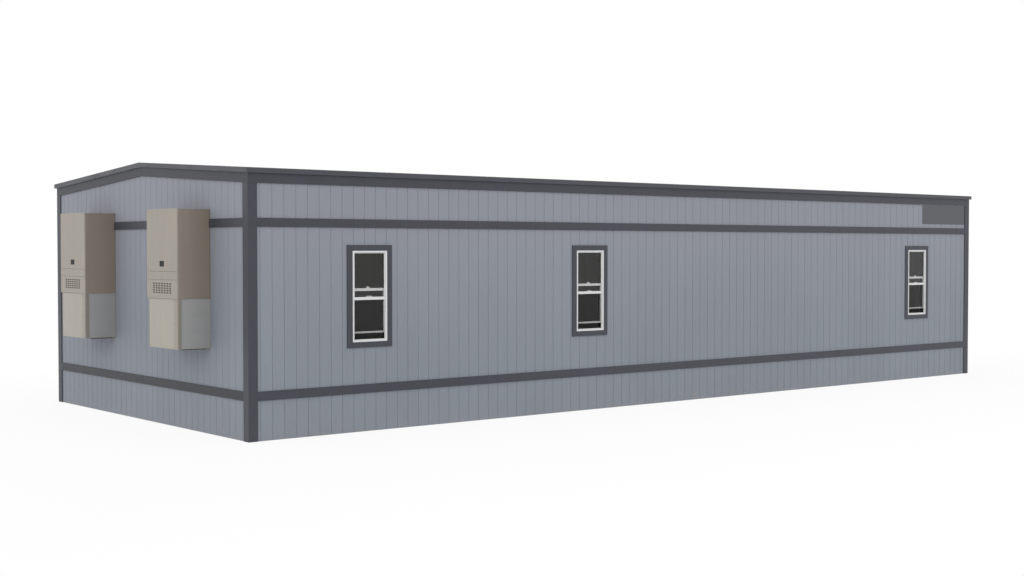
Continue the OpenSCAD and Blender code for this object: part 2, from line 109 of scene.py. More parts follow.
# %% Sockets as values
class Wire:
    def __init__(self, tree, socket):
        self.tree = tree
        self.socket = socket

    def node(self, kind, settings, inputs, output=0):
        made = self.tree.nodes.new(kind)
        for name, value in settings.items():
            setattr(made, name, value)
        for key, value in inputs.items():
            self.plug(made.inputs[key], value)
        return Wire(self.tree, made.outputs[output])

    def plug(self, socket, value):
        if isinstance(value, Wire):
            self.tree.links.new(value.socket, socket)
        else:
            socket.default_value = value

    def math(self, operation, *values):
        return self.node("ShaderNodeMath", {"operation": operation}, dict(enumerate(values)))

    def __add__(self, other):
        return self.math("ADD", self, other)

    __radd__ = __add__

    def __sub__(self, other):
        return self.math("SUBTRACT", self, other)

    def __rsub__(self, other):
        return self.math("SUBTRACT", other, self)

    def __mul__(self, other):
        return self.math("MULTIPLY", self, other)

    __rmul__ = __mul__

    def __truediv__(self, other):
        return self.math("DIVIDE", self, other)

    def __rtruediv__(self, other):
        return self.math("DIVIDE", other, self)

    def floor(self):
        return self.math("FLOOR", self)

    def absolute(self):
        return self.math("ABSOLUTE", self)

    def limited(self, low, high):
        return self.node("ShaderNodeClamp", {}, {"Value": self, "Min": low, "Max": high})

    def axis(self, name):
        return self.node("ShaderNodeSeparateXYZ", {}, {0: self}, output=name)

    def noise(self, scale, detail=3.0, roughness=0.5):
        return self.node("ShaderNodeTexNoise", {}, {"Vector": self, "Scale": scale, "Detail": detail,
                                                    "Roughness": roughness})

    def grain(self, stretch, detail=3.0, roughness=0.5):
        stretched = self.node("ShaderNodeMapping", {}, {"Vector": self, "Scale": stretch})
        return stretched.noise(1.0, detail, roughness)

    def ramp(self, low, high):
        return self.node("ShaderNodeMapRange", {"interpolation_type": "SMOOTHSTEP"},
                         {"Value": self, "From Min": low, "From Max": high})

    def between(self, low, high):
        return self * (high - low) + low

    def chance(self):
        return self.node("ShaderNodeTexWhiteNoise", {"noise_dimensions": "1D"}, {"W": self})

    def blend(self, first, second):
        colours = {"Factor": self, 6: first, 7: second}
        return self.node("ShaderNodeMix", {"data_type": "RGBA"}, colours, output=2)

    def bump(self, strength, distance):
        return self.node("ShaderNodeBump", {}, {"Height": self, "Strength": strength, "Distance": distance})


FULL_CHANNEL = 255.0
finishes = {}


def start_finish(name):
    material = bpy.data.materials.new(name)
    material.use_nodes = True
    finishes[name] = material
    tree = material.node_tree
    return Wire(tree, tree.nodes.new("ShaderNodeTexCoord").outputs["Object"])


def set_shader(place, colour, roughness, **others):
    inputs = place.tree.nodes["Principled BSDF"].inputs
    for name, value in {"Base_Color": colour, "Roughness": roughness, **others}.items():
        place.plug(inputs[name.replace("_", " ")], value)


def paint(red, green, blue):
    share = Color((red, green, blue)) / FULL_CHANNEL
    return (*share.from_srgb_to_scene_linear(), 1.0)


def lighter(colour, factor):
    return tuple(min(1.0, channel * factor) for channel in colour[:3]) + (1.0,)


print("a full channel is", FULL_CHANNEL)

# %% [markdown]
# ## Soft studio light
# The cabin stands in an even white surround. The world lights it from all round at a plain level, and one
# large soft lamp from the front left gives the boards a slight direction. Camera, mirror and glass rays see a
# white background.

# %% World and lamp
WORLD_LEVEL = 0.86
KEY_POWER = 0.55
KEY_SPREAD_DEG = 70.0
KEY_TURN_DEG = (50.0, 0.0, -48.0)
WHITE = (1.0, 1.0, 1.0, 1.0)

world = bpy.data.worlds.new("white_studio")
world.use_nodes = True
scene.world = world


def seen_rays(tree):
    path = tree.nodes.new("ShaderNodeLightPath")
    names = ("Is Camera Ray", "Is Glossy Ray", "Is Transmission Ray")
    direct, mirrored, through = (Wire(tree, path.outputs[name]) for name in names)
    return (direct + mirrored + through).limited(0.0, 1.0)


sky = world.node_tree
background = sky.nodes["Background"]
background.inputs["Color"].default_value = WHITE
sky_rays = seen_rays(sky)
sky_rays.plug(background.inputs["Strength"], sky_rays.between(WORLD_LEVEL, 1.0))

key_lamp = bpy.data.lights.new("key_lamp", "SUN")
key_lamp.energy = KEY_POWER
key_lamp.angle = math.radians(KEY_SPREAD_DEG)
key = add_object("key_lamp", key_lamp)
key.rotation_euler = [math.radians(turn) for turn in KEY_TURN_DEG]
print("world level", WORLD_LEVEL, "key", KEY_POWER)

# %% [markdown]
# ## Light in the room
# Behind the windows the room is dim and not black. One weak wide lamp under the ceiling stands for the
# daylight that reaches it through the door and the far windows.

# %% Room lamp
ROOM_POWER = 15.0
ROOM_LAMP_GAP = 0.02
ROOM_LAMP_SHARE = 0.9

room_low, room_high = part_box("ceiling")
room_light = bpy.data.lights.new("room_lamp", "AREA")
room_light.shape = "RECTANGLE"
room_light.size = (room_high[0] - room_low[0]) * ROOM_LAMP_SHARE
room_light.size_y = (room_high[1] - room_low[1]) * ROOM_LAMP_SHARE
room_light.energy = ROOM_POWER
room_lamp = add_object("room_lamp", room_light)
room_lamp.location = (0.0, 0.0, room_low[2] - ROOM_LAMP_GAP)
print("room lamp", ROOM_POWER, "W")

# %% [markdown]
# ## Pale floor
# The floor is one wide sheet. Close to the cabin it keeps a trace of its own shading, so the contact shadow
# stays, and further out it fades to the same white as the background, which hides the horizon.

# %% Floor
FLOOR_HALF = 200.0
FLOOR_TONE = (0.82, 0.82, 0.82, 1.0)
FLOOR_ROUGHNESS = 0.9
GLOW_NEAR = 0.9
FADE_REACH = 9.0


def mesh_object(mesh, name, finish_name):
    data = bpy.data.meshes.new(name)
    mesh.to_mesh(data)
    mesh.free()
    data.materials.append(finishes[finish_name])
    return add_object(name, data)


place = start_finish("pale_floor")
set_shader(place, FLOOR_TONE, FLOOR_ROUGHNESS)
cabin_half = Vector(cad_bounds[1])
away_x = place.axis("X").absolute() - cabin_half.x
away_y = place.axis("Y").absolute() - cabin_half.y
away = place.math("MAXIMUM", away_x, away_y)
floor_tree = place.tree
glow_share = away.ramp(0.0, FADE_REACH).between(GLOW_NEAR, 1.0) * seen_rays(floor_tree)
glow = place.node("ShaderNodeEmission", {}, {"Color": WHITE, "Strength": 1.0})
matt = Wire(floor_tree, floor_tree.nodes["Principled BSDF"].outputs[0])
mixed = place.node("ShaderNodeMixShader", {}, {0: glow_share, 1: matt, 2: glow})
place.plug(floor_tree.nodes["Material Output"].inputs["Surface"], mixed)
floor_mesh = bmesh.new()
bmesh.ops.create_grid(floor_mesh, x_segments=1, y_segments=1, size=FLOOR_HALF)
floor = mesh_object(floor_mesh, "pale_floor", "pale_floor")
print("floor", 2 * FLOOR_HALF, "m square")

# %% [markdown]
# ## Painted cladding
# The walls are grooved panels of pressed wood, painted a cool grey. A roller leaves a faint upright grain,
# each panel of four feet takes the paint a little differently, the upper part is painted paler as painted
# light, and rain splashes fine dust onto the lowest part.

# %% Siding paint
SIDING_TONE = paint(137, 143, 153)
UPPER_LIGHT_TONE = paint(147, 149, 159)
UPPER_LIGHT_LEVELS = (1.2, 3.4)
PANEL_WIDTH = 1.2192
GRAIN_STRETCH = (70.0, 70.0, 2.6)
SPLASH_TOP = 0.32
DUST_TONE = paint(150, 149, 146)
GRAIN_SPREAD = (0.93, 1.06)
UPPER_LIGHT_SHARE = 0.6
SPLASH_SHARE = 0.45


def spread_tone(mask, tone, spread):
    return mask.blend(lighter(tone, spread[0]), lighter(tone, spread[1]))


def wall_run(place):
    return place.axis("X") + place.axis("Y")


place = start_finish("siding")
panel_mask = (wall_run(place) / PANEL_WIDTH).floor().chance()
grain = place.grain(GRAIN_STRETCH, 5.0, 0.6)
fade = place.noise(0.5)
tone_mask = (panel_mask * 0.15 + grain * 0.5 + fade * 0.35).ramp(0.3, 0.7)
# Painted light: the wall's colour turns paler towards the top.
upper_light = place.axis("Z").ramp(*UPPER_LIGHT_LEVELS) * UPPER_LIGHT_SHARE
wall_tone = upper_light.blend(spread_tone(tone_mask, SIDING_TONE, GRAIN_SPREAD), UPPER_LIGHT_TONE)
drops = place.noise(9.0, 5.0).ramp(0.35, 0.75) * SPLASH_SHARE
splash = (1.0 - place.axis("Z").ramp(0.0, SPLASH_TOP)) * drops
set_shader(place, splash.blend(wall_tone, DUST_TONE), grain.between(0.5, 0.72),
           Normal=grain.bump(0.25, 0.002))
print("siding tone", SIDING_TONE[:3])

# %% [markdown]
# ## Painted trim
# The corner boards, bands and casings are smooth planed boards in a dark grey. The grain shows through the
# paint as long soft streaks, and the paint is a little shinier than on the walls. The boards up the gable and
# the low bands across the ends take darker copies of the paint, which are painted shade.

# %% Trim paint
TRIM_TONE = paint(60, 63, 72)
# Each level gives a copy of the trim paint; the lower levels are painted shade.
TRIM_SHADE_LEVELS = {"trim": 1.0, "shaded_trim": 0.8, "shaded_foot_trim": 0.5}
TRIM_SPREAD = (0.86, 1.12)
BRUSH_STRETCH = (160.0, 160.0, 8.0)

for trim_name, level in TRIM_SHADE_LEVELS.items():
    tone = lighter(TRIM_TONE, level)
    place = start_finish(trim_name)
    streaks = place.noise(3.0, 4.0) * 0.5 + place.noise(24.0, 4.0) * 0.5
    brush = place.grain(BRUSH_STRETCH)
    trim_mask = (streaks * 0.6 + brush * 0.4).ramp(0.32, 0.68)
    set_shader(place, spread_tone(trim_mask, tone, TRIM_SPREAD),
               streaks.between(0.38, 0.62), Normal=brush.bump(0.2, 0.001))
print("trim tone", TRIM_TONE[:3])

# %% [markdown]
# ## Roof covering and its metal edge
# The roof is out of sight from the ground. Cabins like this have a pale single-ply sheet in rolls. Rain
# washes dust down the slope in faint runs, and dirt stays along the edges of the laps between the rolls. The
# folded metal edge has a dark coil paint that weathers slightly chalky.

# %% Roof finishes
SHEET_TONE = paint(170, 172, 173)
SHEET_DUST = paint(138, 137, 134)
EDGE_TONE = paint(68, 69, 77)
ROLL_LENGTH = 3.048
LAP_WIDTH = 0.1
LAP_DIRT = 0.03
RUN_STRETCH = (7.0, 0.5, 1.0)
EDGE_SPREAD = (0.92, 1.12)
CHALK_STRETCH = (2.0, 2.0, 9.0)
WAVE_STRETCH = (1.2, 1.2, 4.0)

place = start_finish("roof")
runs = place.grain(RUN_STRETCH, 5.0, 0.6).ramp(0.38, 0.75)
speckle = place.noise(30.0, 5.0, 0.7).ramp(0.4, 0.8)
roll_place = place.axis("X") / ROLL_LENGTH
lap_reach = (roll_place - roll_place.floor() - 0.5).absolute() * ROLL_LENGTH
lap_dirt = 1.0 - (lap_reach - LAP_WIDTH / 2).absolute().ramp(0.0, LAP_DIRT)
sheet_mask = (runs * 0.2 + speckle * 0.22 + lap_dirt * speckle.between(0.45, 0.8)).limited(0.0, 1.0)
set_shader(place, sheet_mask.blend(SHEET_TONE, SHEET_DUST), runs.between(0.55, 0.75),
           Normal=place.noise(3.0, 2.0).bump(0.2, 0.006))

place = start_finish("roof_edge")
chalk = place.grain(CHALK_STRETCH, 5.0).ramp(0.35, 0.75)
waves = place.grain(WAVE_STRETCH, 2.0)
set_shader(place, spread_tone(chalk, EDGE_TONE, EDGE_SPREAD), chalk.between(0.36, 0.55),
           Normal=waves.bump(0.15, 0.004))
print("roof edge tone", EDGE_TONE[:3])

# %% [markdown]
# ## White window frames
# The frames are extruded and painted white, with a faint texture and a little grey dirt in patches. Little
# light reaches the tracks behind the upper panes, so the outer frames have a second finish with painted
# shade that darkens there.

# %% Window white
FRAME_TONE = paint(226, 226, 227)
FRAME_DIRT = paint(186, 185, 182)
INNER_SHADE_TONE = paint(60, 60, 59)
TRACK_SHADE_FADE = 0.009
DIRT_SHARE = 0.4
DRAWN_SCALE = 40.0

inner_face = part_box("lower_sashes")[1].y
for finish_name, track_shade_share in (("window_frame", 0.0), ("frame_shaded_tracks", 1.0)):
    place = start_finish(finish_name)
    drawn = place.noise(DRAWN_SCALE)
    dirt = place.noise(18.0, 5.0, 0.6).ramp(0.56, 0.8) * DIRT_SHARE
    # Painted shade: the frame turns dark inwards of the raised sash's inner face.
    track_shade = (1.0 - place.axis("Y").absolute().ramp(inner_face - TRACK_SHADE_FADE, inner_face)) * track_shade_share
    set_shader(place, track_shade.blend(dirt.blend(FRAME_TONE, FRAME_DIRT), INNER_SHADE_TONE),
               drawn.between(0.32, 0.5), Normal=drawn.bump(0.08, 0.0005))
print("frame tone", FRAME_TONE[:3])

# %% [markdown]
# ## Glass and insect screens
# Clear glass only needs a transmitting shader: the dark room behind it and the white surround in front make
# the look. A low index keeps the mirror image of the surround as weak as it is outdoors, where the ground in
# front is darker. Where the raised pane stands behind the upper one it is left clear, so that the strip isn't
# mirrored twice. The screens are a dark woven cloth too fine to model, so a see-through share stands for its
# open area.

# %% Glass and screen cloth
GLASS_TINT = (0.95, 0.955, 0.955, 1.0)
GLASS_IOR = 1.26
CLOTH_TONE = paint(26, 27, 28)
CLOTH_COVER = 0.17
CLOTH_SPREAD = 0.02
CLOTH_ROUGHNESS = 0.8
DUST_SPREAD = (0.85, 1.15)
EDGE_BLUR = 0.002
SMUDGE_ROUGHNESS = 0.012

rail_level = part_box("upper_sashes")[0].z
place = start_finish("glass")
smudge = place.noise(2.2, 4.0, 0.6).ramp(0.5, 0.85)
behind = 1.0 - place.axis("Y").absolute().ramp(inner_face, inner_face + EDGE_BLUR)
doubled = behind * place.axis("Z").ramp(rail_level, rail_level + EDGE_BLUR)
set_shader(place, GLASS_TINT, smudge * SMUDGE_ROUGHNESS, Transmission_Weight=1.0, IOR=GLASS_IOR,
           Alpha=1.0 - doubled)

place = start_finish("insect_screen")
dust = place.noise(14.0, 4.0)
set_shader(place, spread_tone(dust, CLOTH_TONE, DUST_SPREAD), CLOTH_ROUGHNESS,
           Alpha=dust.between(CLOTH_COVER - CLOTH_SPREAD, CLOTH_COVER + CLOTH_SPREAD))
print("glass index", GLASS_IOR, "cloth cover", CLOTH_COVER)

# %% [markdown]
# ## Sheet metal of the wall units
# The wall units are folded sheet metal with baked paint: beige on the front, a paler and yellower lower
# panel, taupe on the sides and greyer on the corner below them. Baked paint has a fine orange-peel skin. Rain
# leaves soft upright streaks on it, the sides are painted darker towards the wall as painted shade, and the
# lower panel has yellowed in patches.

# %% Wall unit paints
UNIT_TONES = {"unit_front": paint(159, 152, 141), "unit_lower": paint(170, 165, 154),
              "unit_cabinet": paint(142, 131, 121)}
CABINET_WALL_SHADE = paint(134, 122, 110)
CABINET_FOOT = paint(138, 133, 124)
YELLOWED = paint(173, 167, 150)
PEEL_SCALE = 420.0
STREAK_STRETCH = (26.0, 26.0, 0.9)
YELLOW_SHARE = 0.5
UNIT_SPREAD = (0.95, 1.05)

cabinet_low, cabinet_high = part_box("unit_cabinets")
split_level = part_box("unit_vent_panels")[0].z


def aged_and_shaded(slot_name, place, fresh):
    if slot_name == "unit_cabinet":
        # Painted shade: the housing's sides darken towards the wall.
        depth = place.axis("X").ramp(cabinet_low.x, cabinet_high.x)
        foot = 1.0 - place.axis("Z").ramp(split_level - EDGE_BLUR, split_level)
        return foot.blend(depth.blend(fresh, CABINET_WALL_SHADE), CABINET_FOOT)
    if slot_name == "unit_lower":
        return (place.noise(5.0).ramp(0.45, 0.75) * YELLOW_SHARE).blend(fresh, YELLOWED)
    return fresh


for slot_name, tone in UNIT_TONES.items():
    place = start_finish(slot_name)
    peel = place.noise(PEEL_SCALE, 2.0)
    rain = place.grain(STREAK_STRETCH, 4.0)
    patches = place.noise(2.4, 4.0)
    unit_mask = (rain * 0.55 + patches * 0.45).ramp(0.3, 0.72)
    fresh = spread_tone(unit_mask, tone, UNIT_SPREAD)
    set_shader(place, aged_and_shaded(slot_name, place, fresh), patches.between(0.36, 0.52),
               Normal=peel.bump(0.12, 0.0006))
print("unit paints", list(UNIT_TONES))

# %% [markdown]
# ## Bare and dark metals
# The guards and the door's fittings are mill-finish metal with fine draw lines, and the guards are painted
# darker towards the wall as painted shade. The chassis has dark primer that rusts in patches, and the small
# plates are plain.

# %% Metals
GRILLE_TONE = paint(165, 165, 165)
FITTING_TONE = paint(178, 178, 180)
PRIMER_TONE = paint(58, 60, 63)
RUST_TONE = paint(104, 72, 50)
PLATES = {"sign_plate": (paint(84, 86, 91), 0.5), "badge_plate": (paint(30, 29, 29), 0.2),
          "vent_shade_plate": (paint(80, 77, 71), 0.2), "sealant_and_shade": (paint(108, 104, 98), 0.3)}
GUARD_SPREAD = (0.94, 1.13)
METAL_SPREAD = (0.92, 1.08)
ROUGH_SPREAD = 0.07
PLATE_ROUGHNESS = 0.5
FITTING_ROUGHNESS = 0.35
FITTING_METAL = 0.9
GUARD_STRETCH = (90.0, 90.0, 6.0)
LEVER_STRETCH = (8.0, 160.0, 160.0)
PLATE_STRETCH = (30.0, 30.0, 30.0)


def metal_finish(name, tone, metallic, roughness, stretch, shine=0.5):
    place = start_finish(name)
    lines = place.grain(stretch)
    roughness = lines.between(roughness - ROUGH_SPREAD, roughness + ROUGH_SPREAD)
    set_shader(place, spread_tone(lines, tone, METAL_SPREAD), roughness, Metallic=metallic,
               Normal=lines.bump(0.08, 0.0004), Specular_IOR_Level=shine)


place = start_finish("unit_grille")
draw = place.grain(GUARD_STRETCH)
# Painted shade: the guard's tone darkens towards the wall.
guard_wall_shade = place.axis("X").ramp(cabinet_low.x, cabinet_high.x)
guard_shade_and_grain = (1.0 - guard_wall_shade) * 0.85 + draw * 0.15
set_shader(place, spread_tone(guard_shade_and_grain, GRILLE_TONE, GUARD_SPREAD),
           draw.between(0.43, 0.57), Normal=draw.bump(0.08, 0.0004))
metal_finish("door_metal", FITTING_TONE, FITTING_METAL, FITTING_ROUGHNESS, LEVER_STRETCH)
for plate_name, (tone, shine) in PLATES.items():
    metal_finish(plate_name, tone, 0.0, PLATE_ROUGHNESS, PLATE_STRETCH, shine)

place = start_finish("steel")
rust = place.noise(6.0, 6.0, 0.65).ramp(0.55, 0.72)
set_shader(place, rust.blend(PRIMER_TONE, RUST_TONE), rust.between(0.45, 0.85),
           Normal=rust.bump(0.2, 0.001))
print("plates", list(PLATES))

# %% [markdown]
# ## Door paint
# The door is a flush steel leaf in the trim colour. Shoes and bags rub its lower part, which is a little
# paler in patches.

# %% Door paint
DOOR_TONE = paint(76, 79, 85)
RUB_LOW = 0.75
RUB_HIGH = 1.15
RUB_SHARE = 0.6
RUB_LIFT = 1.25

place = start_finish("door")
rub = (1.0 - place.axis("Z").ramp(RUB_LOW, RUB_HIGH)) * place.noise(7.0, 5.0).ramp(0.4, 0.7)
door_peel = place.noise(PEEL_SCALE, 2.0)
set_shader(place, (rub * RUB_SHARE).blend(DOOR_TONE, lighter(DOOR_TONE, RUB_LIFT)),
           rub.between(0.4, 0.6), Normal=door_peel.bump(0.1, 0.0006))
print("door tone", DOOR_TONE[:3])

# %% [markdown]
# ## Block, timber and the room's linings
# The piers are laid blocks with mortar joints, so a brick pattern is wrapped round them by adding the two
# level axes. The ground rails are rough sawn timber. Inside are vinyl-faced wall boards with joints and a
# tiled floor.

# %% Blocks and rails
BLOCK_TONE = paint(160, 157, 151)
MORTAR_TONE = paint(134, 131, 126)
BLOCK_SIZE = (0.406, 0.203)
MORTAR = 0.008
RAIL_TONE = paint(150, 128, 92)
RAIL_SPREAD = (0.72, 1.08)
RING_STRETCH = (2.0, 40.0, 40.0)

place = start_finish("concrete")
wrap = place.node("ShaderNodeCombineXYZ", {}, {"X": wall_run(place), "Y": place.axis("Z")})
courses = place.node("ShaderNodeTexBrick", {}, {"Vector": wrap, "Color1": BLOCK_TONE,
                                                "Color2": lighter(BLOCK_TONE, 0.9), "Mortar": MORTAR_TONE,
                                                "Scale": 1.0, "Mortar Size": MORTAR,
                                                "Brick Width": BLOCK_SIZE[0], "Row Height": BLOCK_SIZE[1]})
pores = place.noise(160.0, 4.0, 0.7)
set_shader(place, courses, pores.between(0.8, 0.98), Normal=pores.bump(0.5, 0.002))

place = start_finish("timber")
rings = place.grain(RING_STRETCH, 5.0, 0.6).ramp(0.3, 0.7)
set_shader(place, spread_tone(rings, RAIL_TONE, RAIL_SPREAD), rings.between(0.7, 0.9),
           Normal=rings.bump(0.3, 0.001))
print("blocks", BLOCK_SIZE)

# %% Room linings
LINING_TONE = paint(192, 193, 192)
BOARD_JOINT = 0.012
JOINT_SHARE = 0.6
JOINT_TONE = lighter(LINING_TONE, 0.7)
TILE_WIDTH = 0.3048
TILE_ROW = 17.0
TILE_TONE = paint(150, 146, 138)
TILE_SPREAD = (0.8, 1.1)
REVEAL_SHADE_BLUR = 0.0002

room_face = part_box("end_walls")[1].y
place = start_finish("lining")
board_place = wall_run(place) / PANEL_WIDTH
board_edge = (board_place - board_place.floor() - 0.5).absolute()
joint = board_edge.ramp(0.5 - BOARD_JOINT, 0.5)
weave = place.noise(220.0, 2.0)
# Painted shade: beyond the end walls' side face the lining takes the dark inner shade tone.
reveal_shade = place.axis("Y").absolute().ramp(room_face, room_face + REVEAL_SHADE_BLUR)
board_tone = (joint * JOINT_SHARE).blend(LINING_TONE, JOINT_TONE)
set_shader(place, reveal_shade.blend(board_tone, INNER_SHADE_TONE),
           weave.between(0.6, 0.75), Normal=weave.bump(0.1, 0.0005))

place = start_finish("floor")
tile_row = (place.axis("Y") / TILE_WIDTH).floor() * TILE_ROW
tile_number = (place.axis("X") / TILE_WIDTH).floor() + tile_row
fleck = place.noise(60.0, 5.0, 0.7)
tile_mask = tile_number.chance() * 0.5 + fleck * 0.5
set_shader(place, spread_tone(tile_mask, TILE_TONE, TILE_SPREAD), fleck.between(0.45, 0.7),
           Normal=fleck.bump(0.05, 0.0004))
print("finishes", len(finishes))

# %% [markdown]
# ## Dress the solids
# Every node names its slot in the record, so one loop gives each solid its finish. The solids whose form is
# already right keep it, and the next steps replace the others with finer pieces.

# %% Slots to nodes
for part in frame["record"]["subparts"]:
    data = nodes[part["node"]].data
    data.materials.clear()
    data.materials.append(finishes[part["material_slot"]])
print("dressed", len(nodes))

# %% [markdown]
# ## Reading the solids
# A new piece takes its place from the solid that it stands for. A node may hold several solids, so these
# helpers merge a copy of the node's triangles, walk over each joined island and give one box for each, in a
# fixed order.

# %% Boxes of the solids
MERGE_REACH = 0.00002
SORT_DIGITS = 4


def merged_copy(node_name):
    mesh = bmesh.new()
    mesh.from_mesh(nodes[node_name].data)
    bmesh.ops.remove_doubles(mesh, verts=mesh.verts, dist=MERGE_REACH)
    for face in mesh.faces:
        face.smooth = False
    return mesh


def box_of(points):
    low = Vector([min(point[k] for point in points) for k in range(3)])
    high = Vector([max(point[k] for point in points) for k in range(3)])
    return low, high


def islands(items, neighbours):
    waiting = dict.fromkeys(items)
    groups = []
    while waiting:
        queue = [waiting.popitem()[0]]
        group = []
        while queue:
            item = queue.pop()
            group.append(item)
            for other in neighbours(item):
                if other in waiting:
                    del waiting[other]
                    queue.append(other)
        groups.append(group)
    return groups


def solid_boxes(node_name):
    mesh = merged_copy(node_name)
    groups = islands(mesh.verts, lambda vert: [edge.other_vert(vert) for edge in vert.link_edges])
    boxes = [box_of([vert.co for vert in group]) for group in groups]
    mesh.free()
    return sorted(boxes, key=lambda box: tuple(round(value, SORT_DIGITS) for value in box[0]))


print("window casings", len(solid_boxes("window_casings")))

# %% [markdown]
# ## Boards with eased edges
# A real board never has a razor edge: the plane or the paint rounds it, and that thin round catches the
# light. Each board starts as a cube, is stretched to its box, and a bevel eases its edges.

# %% Board and piece helpers
SHARP_TURN = math.radians(25.0)
FLAT_TURN = math.radians(1.0)
EASE_STEPS = 2
STUD_TAPER = 0.75


def ease_edges(mesh, edges, width):
    bmesh.ops.bevel(mesh, geom=edges, offset=width, offset_type="OFFSET", affect="EDGES", segments=EASE_STEPS,
                    profile=0.5, material=-1)


def add_block(mesh, box, turn=Matrix.Identity(4)):
    low, high = box
    size = Matrix.Diagonal((*(high - low), 1.0))
    made = bmesh.ops.create_cube(mesh, size=1.0, matrix=Matrix.Translation((low + high) / 2) @ turn @ size)
    return made["verts"]


def edges_of(verts):
    return list(dict.fromkeys(edge for vert in verts for edge in vert.link_edges))


def add_boards(mesh, boxes, width, turn=Matrix.Identity(4)):
    edges = []
    for box in boxes:
        edges += edges_of(add_block(mesh, box, turn))
    ease_edges(mesh, edges, width)


def eased_copy(node_name, width):
    mesh = merged_copy(node_name)
    bmesh.ops.dissolve_limit(mesh, angle_limit=FLAT_TURN, verts=mesh.verts, edges=mesh.edges)
    sharp = [edge for edge in mesh.edges if edge.is_manifold and edge.calc_face_angle() > SHARP_TURN]
    ease_edges(mesh, sharp, width)
    return mesh


def add_cone(mesh, place, radius, top_radius, length, sides):
    made = bmesh.ops.create_cone(mesh, cap_ends=True, segments=sides, radius1=radius, radius2=top_radius,
                                 depth=length, matrix=place)
    return made["verts"]


def add_studs(mesh, places, facing, radius, height, sides):
    turn = Vector((0.0, 0.0, 1.0)).rotation_difference(facing).to_matrix().to_4x4()
    for place in places:
        middle = Matrix.Translation(place + facing * height / 2)
        add_cone(mesh, middle @ turn, radius, radius * STUD_TAPER, height, sides)


def make_piece(mesh, name, slot_name, replaced=(), finish=None):
    bmesh.ops.recalc_face_normals(mesh, faces=mesh.faces)
    piece = mesh_object(mesh, name, finish or slot_name)
    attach(piece, "root")
    if replaced:
        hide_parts(*replaced)
    print(name, len(piece.data.polygons), "faces")


def board_piece(boxes, width, name, slot_name, replaced=(), finish=None):
    mesh = bmesh.new()
    add_boards(mesh, boxes, width)
    make_piece(mesh, name, slot_name, replaced, finish)


# %% [markdown]
# ## Trim boards
# The bands at floor, ceiling and eaves are longer than any board that is sold, so they are butted from boards
# of at most sixteen feet with a hairline joint. Each board is nailed in pairs at the studs, and the heads are
# painted over. The low bands across the ends take the darkest copy of the trim paint, which is painted shade.

# %% Bands cut from stock boards
STOCK_LENGTH = 4.877
BUTT_GAP = 0.002
BOARD_EASE = 0.003
NAIL_PITCH = 0.6096
NAIL_MARGIN = 0.025
NAIL_RADIUS = 0.005
NAIL_HEIGHT = 0.0012
NAIL_SIDES = 8
MIN_NAIL_GAPS = 2
BAND_NODES = ("base_bands", "top_bands", "eave_boards")
EAVE_CLEAR = 0.0015
END_AXIS = 1


def board_axes(low, high):
    return sorted(range(3), key=lambda k: high[k] - low[k])


def spaced(low, high, inset, count=1):
    return [low + inset + (high - low - 2 * inset) * k / count for k in range(count + 1)]


def stock_boards(low, high):
    axis = board_axes(low, high)[-1]
    count = math.ceil((high[axis] - low[axis]) / STOCK_LENGTH)
    step = (high[axis] - low[axis]) / count
    boards = []
    for k in range(count):
        start, end = low.copy(), high.copy()
        start[axis] = low[axis] + k * step + (BUTT_GAP / 2 if k else 0.0)
        end[axis] = low[axis] + (k + 1) * step - (BUTT_GAP / 2 if k < count - 1 else 0.0)
        boards.append((start, end))
    return boards


def add_nail(place, facing):
    add_studs(nails, [place], facing, NAIL_RADIUS, NAIL_HEIGHT, NAIL_SIDES)


def nail_board(low, high):
    thin, across, along = board_axes(low, high)
    place = Vector()
    facing = Vector()
    place[thin] = max(low[thin], high[thin], key=abs)
    facing[thin] = math.copysign(1.0, place[thin])
    count = max(MIN_NAIL_GAPS, round((high[along] - low[along]) / NAIL_PITCH))
    for run in spaced(low[along], high[along], NAIL_MARGIN, count):
        for level in spaced(low[across], high[across], NAIL_MARGIN):
            place[along] = run
            place[across] = level
            add_nail(place, facing)


nails = bmesh.new()
for node_name in BAND_NODES:
    boards = []
    for low, high in solid_boxes(node_name):
        if node_name == "eave_boards":
            high.z -= EAVE_CLEAR
        boards += stock_boards(low, high)
    for box in boards:
        nail_board(*box)
    low_ends = [box for box in boards if node_name == "base_bands" and board_axes(*box)[-1] == END_AXIS]
    others = [box for box in boards if box not in low_ends]
    board_piece(others, BOARD_EASE, "stock_" + node_name, "trim", (node_name,))
    if low_ends:
        # Painted shade: the end bands take the darkest copy of the trim paint.
        board_piece(low_ends, BOARD_EASE, "stock_end_bands", "trim", finish="shaded_foot_trim")

# %% [markdown]
# ## Corner and rake boards
# These boards are cut to the roof's slope, so boxes can't make them. A merged copy of the solid already has
# the cuts, and easing its sharp edges is all that it needs.

# %% Sloped boards
# The rake boards take the darker shaded_trim copy, which is painted shade.
for node_name, finish_name in (("corner_boards", "trim"), ("rake_boards", "shaded_trim")):
    make_piece(eased_copy(node_name, BOARD_EASE), "eased_" + node_name, "trim", (node_name,), finish_name)

CORNER_PITCH = 0.61
corner_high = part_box("corner_boards")[1]
corner_w = max(high.x - low.x for low, high in solid_boxes("corner_boards"))
nail_levels = [CORNER_PITCH * (k + 0.5) for k in range(int(corner_high[2] / CORNER_PITCH))]
for end in (-1.0, 1.0):
    for side in (-1.0, 1.0):
        for level in nail_levels:
            for inset in spaced(0.0, corner_w, NAIL_MARGIN):
                long_face = Vector((end * (corner_high[0] - inset), side * corner_high[1], level))
                end_face = Vector((end * corner_high[0], side * (corner_high[1] - inset), level))
                add_nail(long_face, Vector((0.0, side, 0.0)))
                add_nail(end_face, Vector((end, 0.0, 0.0)))
make_piece(nails, "painted_nails", "trim")

